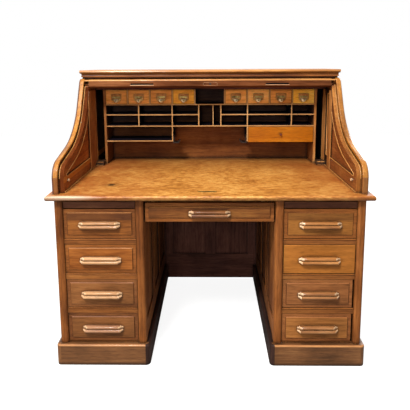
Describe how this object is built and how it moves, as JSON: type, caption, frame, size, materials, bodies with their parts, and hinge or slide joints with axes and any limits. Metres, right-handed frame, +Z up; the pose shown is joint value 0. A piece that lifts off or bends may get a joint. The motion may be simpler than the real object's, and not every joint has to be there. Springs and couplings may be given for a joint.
{
  "type": "roll-top desk",
  "caption": "Wooden roll-top desk on two drawer pedestals, with curved sides, a slatted roll curtain, a pigeonhole gallery, writing slides and a knee hole.",
  "frame": {"origin": "on the floor, under the middle of the writing top", "axes": "+X to the sitter's right along the writing top, +Y from the sitter towards the back, +Z up"},
  "size_m": [1.372, 0.864, 1.284],
  "materials": {
    "top_oak": "satin varnish, open grain",
    "case_oak": "satin varnish",
    "front_oak": "satin varnish",
    "light_oak": "satin varnish",
    "dark_oak": "dull, worn varnish",
    "inner_pine": "bare planed wood",
    "slat_oak": "satin varnish",
    "brass": "aged brass"
  },
  "bodies": {
    "desk": {"writing_top": "top_oak", "lock_keeper_plate": "brass", "left_pedestal_frame": "case_oak", "left_pedestal_panels": "case_oak", "left_drawer_rails": "case_oak", "left_plinth": "case_oak", "left_roll_side": "case_oak", "left_roll_liner": "front_oak", "right_pedestal_frame": "case_oak", "right_pedestal_panels": "case_oak", "right_drawer_rails": "case_oak", "right_plinth": "case_oak", "right_roll_side": "case_oak", "right_roll_liner": "front_oak", "liner_panels": "dark_oak", "stop_pegs": "light_oak", "centre_drawer_runners": "dark_oak", "knee_back_frame": "dark_oak", "knee_back_panels": "dark_oak", "roof_board": "case_oak", "cornice_bed": "case_oak", "roll_back": "dark_oak", "gallery_case": "case_oak", "gallery_shelves": "light_oak", "gallery_dividers": "light_oak", "gallery_brackets": "light_oak", "tambour_tail_slats": "slat_oak"},
    "lift_rail": {"lift_rail": "slat_oak", "lift_rail_lock": "brass"},
    "front_slats": {"tambour_front_slats": "slat_oak"},
    "middle_slats": {"tambour_middle_slats": "slat_oak"},
    "left_drawer_1": {"left_drawer_1": "front_oak", "left_pull_1": "light_oak"},
    "left_drawer_2": {"left_drawer_2": "front_oak", "left_pull_2": "light_oak"},
    "left_drawer_3": {"left_drawer_3": "front_oak", "left_pull_3": "light_oak"},
    "left_drawer_4": {"left_drawer_4": "front_oak", "left_pull_4": "light_oak"},
    "right_drawer_1": {"right_drawer_1": "front_oak", "right_pull_1": "front_oak"},
    "right_drawer_2": {"right_drawer_2": "light_oak", "right_pull_2": "front_oak"},
    "right_drawer_3": {"right_drawer_3": "front_oak", "right_pull_3": "front_oak"},
    "right_drawer_4": {"right_drawer_4": "front_oak", "right_pull_4": "front_oak"},
    "centre_drawer": {"centre_drawer": "front_oak", "centre_pull": "front_oak"},
    "left_writing_slide": {"left_writing_slide": "dark_oak"},
    "right_writing_slide": {"right_writing_slide": "dark_oak"},
    "left_small_drawer_1": {"left_small_drawer_1": "light_oak"},
    "left_small_drawer_2": {"left_small_drawer_2": "light_oak"},
    "left_small_drawer_3": {"left_small_drawer_3": "light_oak"},
    "left_small_drawer_4": {"left_small_drawer_4": "light_oak"},
    "right_small_drawer_1": {"right_small_drawer_1": "light_oak"},
    "right_small_drawer_2": {"right_small_drawer_2": "light_oak"},
    "right_small_drawer_3": {"right_small_drawer_3": "light_oak"},
    "right_small_drawer_4": {"right_small_drawer_4": "light_oak"},
    "wide_gallery_drawer": {"wide_gallery_drawer": "light_oak"}
  },
  "joints": [
    {"name": "lift_rail_slide", "type": "slide", "parent": "desk", "child": "lift_rail", "axis": [0, 0.4617, 0.887], "range_m": [-0.15, 0]},
    {"name": "front_slats_turn", "type": "hinge", "parent": "lift_rail", "child": "front_slats", "pos_m": [0, 0.06797, 1.2135], "axis": [1, 0, 0], "range_deg": [0, 62.51]},
    {"name": "middle_slats_turn", "type": "hinge", "parent": "front_slats", "child": "middle_slats", "pos_m": [0, 0.21972, 1.2083], "axis": [1, 0, 0], "range_deg": [-62.51, 0]},
    {"name": "left_drawer_1_slide", "type": "slide", "parent": "desk", "child": "left_drawer_1", "axis": [0, -1, 0], "range_m": [0, 0.4]},
    {"name": "left_drawer_2_slide", "type": "slide", "parent": "desk", "child": "left_drawer_2", "axis": [0, -1, 0], "range_m": [0, 0.4]},
    {"name": "left_drawer_3_slide", "type": "slide", "parent": "desk", "child": "left_drawer_3", "axis": [0, -1, 0], "range_m": [0, 0.4]},
    {"name": "left_drawer_4_slide", "type": "slide", "parent": "desk", "child": "left_drawer_4", "axis": [0, -1, 0], "range_m": [0, 0.4]},
    {"name": "right_drawer_1_slide", "type": "slide", "parent": "desk", "child": "right_drawer_1", "axis": [0, -1, 0], "range_m": [0, 0.4]},
    {"name": "right_drawer_2_slide", "type": "slide", "parent": "desk", "child": "right_drawer_2", "axis": [0, -1, 0], "range_m": [0, 0.4]},
    {"name": "right_drawer_3_slide", "type": "slide", "parent": "desk", "child": "right_drawer_3", "axis": [0, -1, 0], "range_m": [0, 0.4]},
    {"name": "right_drawer_4_slide", "type": "slide", "parent": "desk", "child": "right_drawer_4", "axis": [0, -1, 0], "range_m": [0, 0.4]},
    {"name": "centre_drawer_slide", "type": "slide", "parent": "desk", "child": "centre_drawer", "axis": [0, -1, 0], "range_m": [0, 0.32]},
    {"name": "left_writing_slide_slide", "type": "slide", "parent": "desk", "child": "left_writing_slide", "axis": [0, -1, 0], "range_m": [0, 0.3]},
    {"name": "right_writing_slide_slide", "type": "slide", "parent": "desk", "child": "right_writing_slide", "axis": [0, -1, 0], "range_m": [0, 0.3]},
    {"name": "left_small_drawer_1_slide", "type": "slide", "parent": "desk", "child": "left_small_drawer_1", "axis": [0, -1, 0], "range_m": [0, 0.12]},
    {"name": "left_small_drawer_2_slide", "type": "slide", "parent": "desk", "child": "left_small_drawer_2", "axis": [0, -1, 0], "range_m": [0, 0.12]},
    {"name": "left_small_drawer_3_slide", "type": "slide", "parent": "desk", "child": "left_small_drawer_3", "axis": [0, -1, 0], "range_m": [0, 0.12]},
    {"name": "left_small_drawer_4_slide", "type": "slide", "parent": "desk", "child": "left_small_drawer_4", "axis": [0, -1, 0], "range_m": [0, 0.12]},
    {"name": "right_small_drawer_1_slide", "type": "slide", "parent": "desk", "child": "right_small_drawer_1", "axis": [0, -1, 0], "range_m": [0, 0.12]},
    {"name": "right_small_drawer_2_slide", "type": "slide", "parent": "desk", "child": "right_small_drawer_2", "axis": [0, -1, 0], "range_m": [0, 0.12]},
    {"name": "right_small_drawer_3_slide", "type": "slide", "parent": "desk", "child": "right_small_drawer_3", "axis": [0, -1, 0], "range_m": [0, 0.12]},
    {"name": "right_small_drawer_4_slide", "type": "slide", "parent": "desk", "child": "right_small_drawer_4", "axis": [0, -1, 0], "range_m": [0, 0.12]},
    {"name": "wide_gallery_drawer_slide", "type": "slide", "parent": "desk", "child": "wide_gallery_drawer", "axis": [0, -1, 0], "range_m": [0, 0.12]}
  ],
  "couplings": [
    {"joint": "front_slats_turn", "follows": "lift_rail_slide", "rad_per_m": -7.2722},
    {"joint": "middle_slats_turn", "follows": "lift_rail_slide", "rad_per_m": 7.2722}
  ]
}
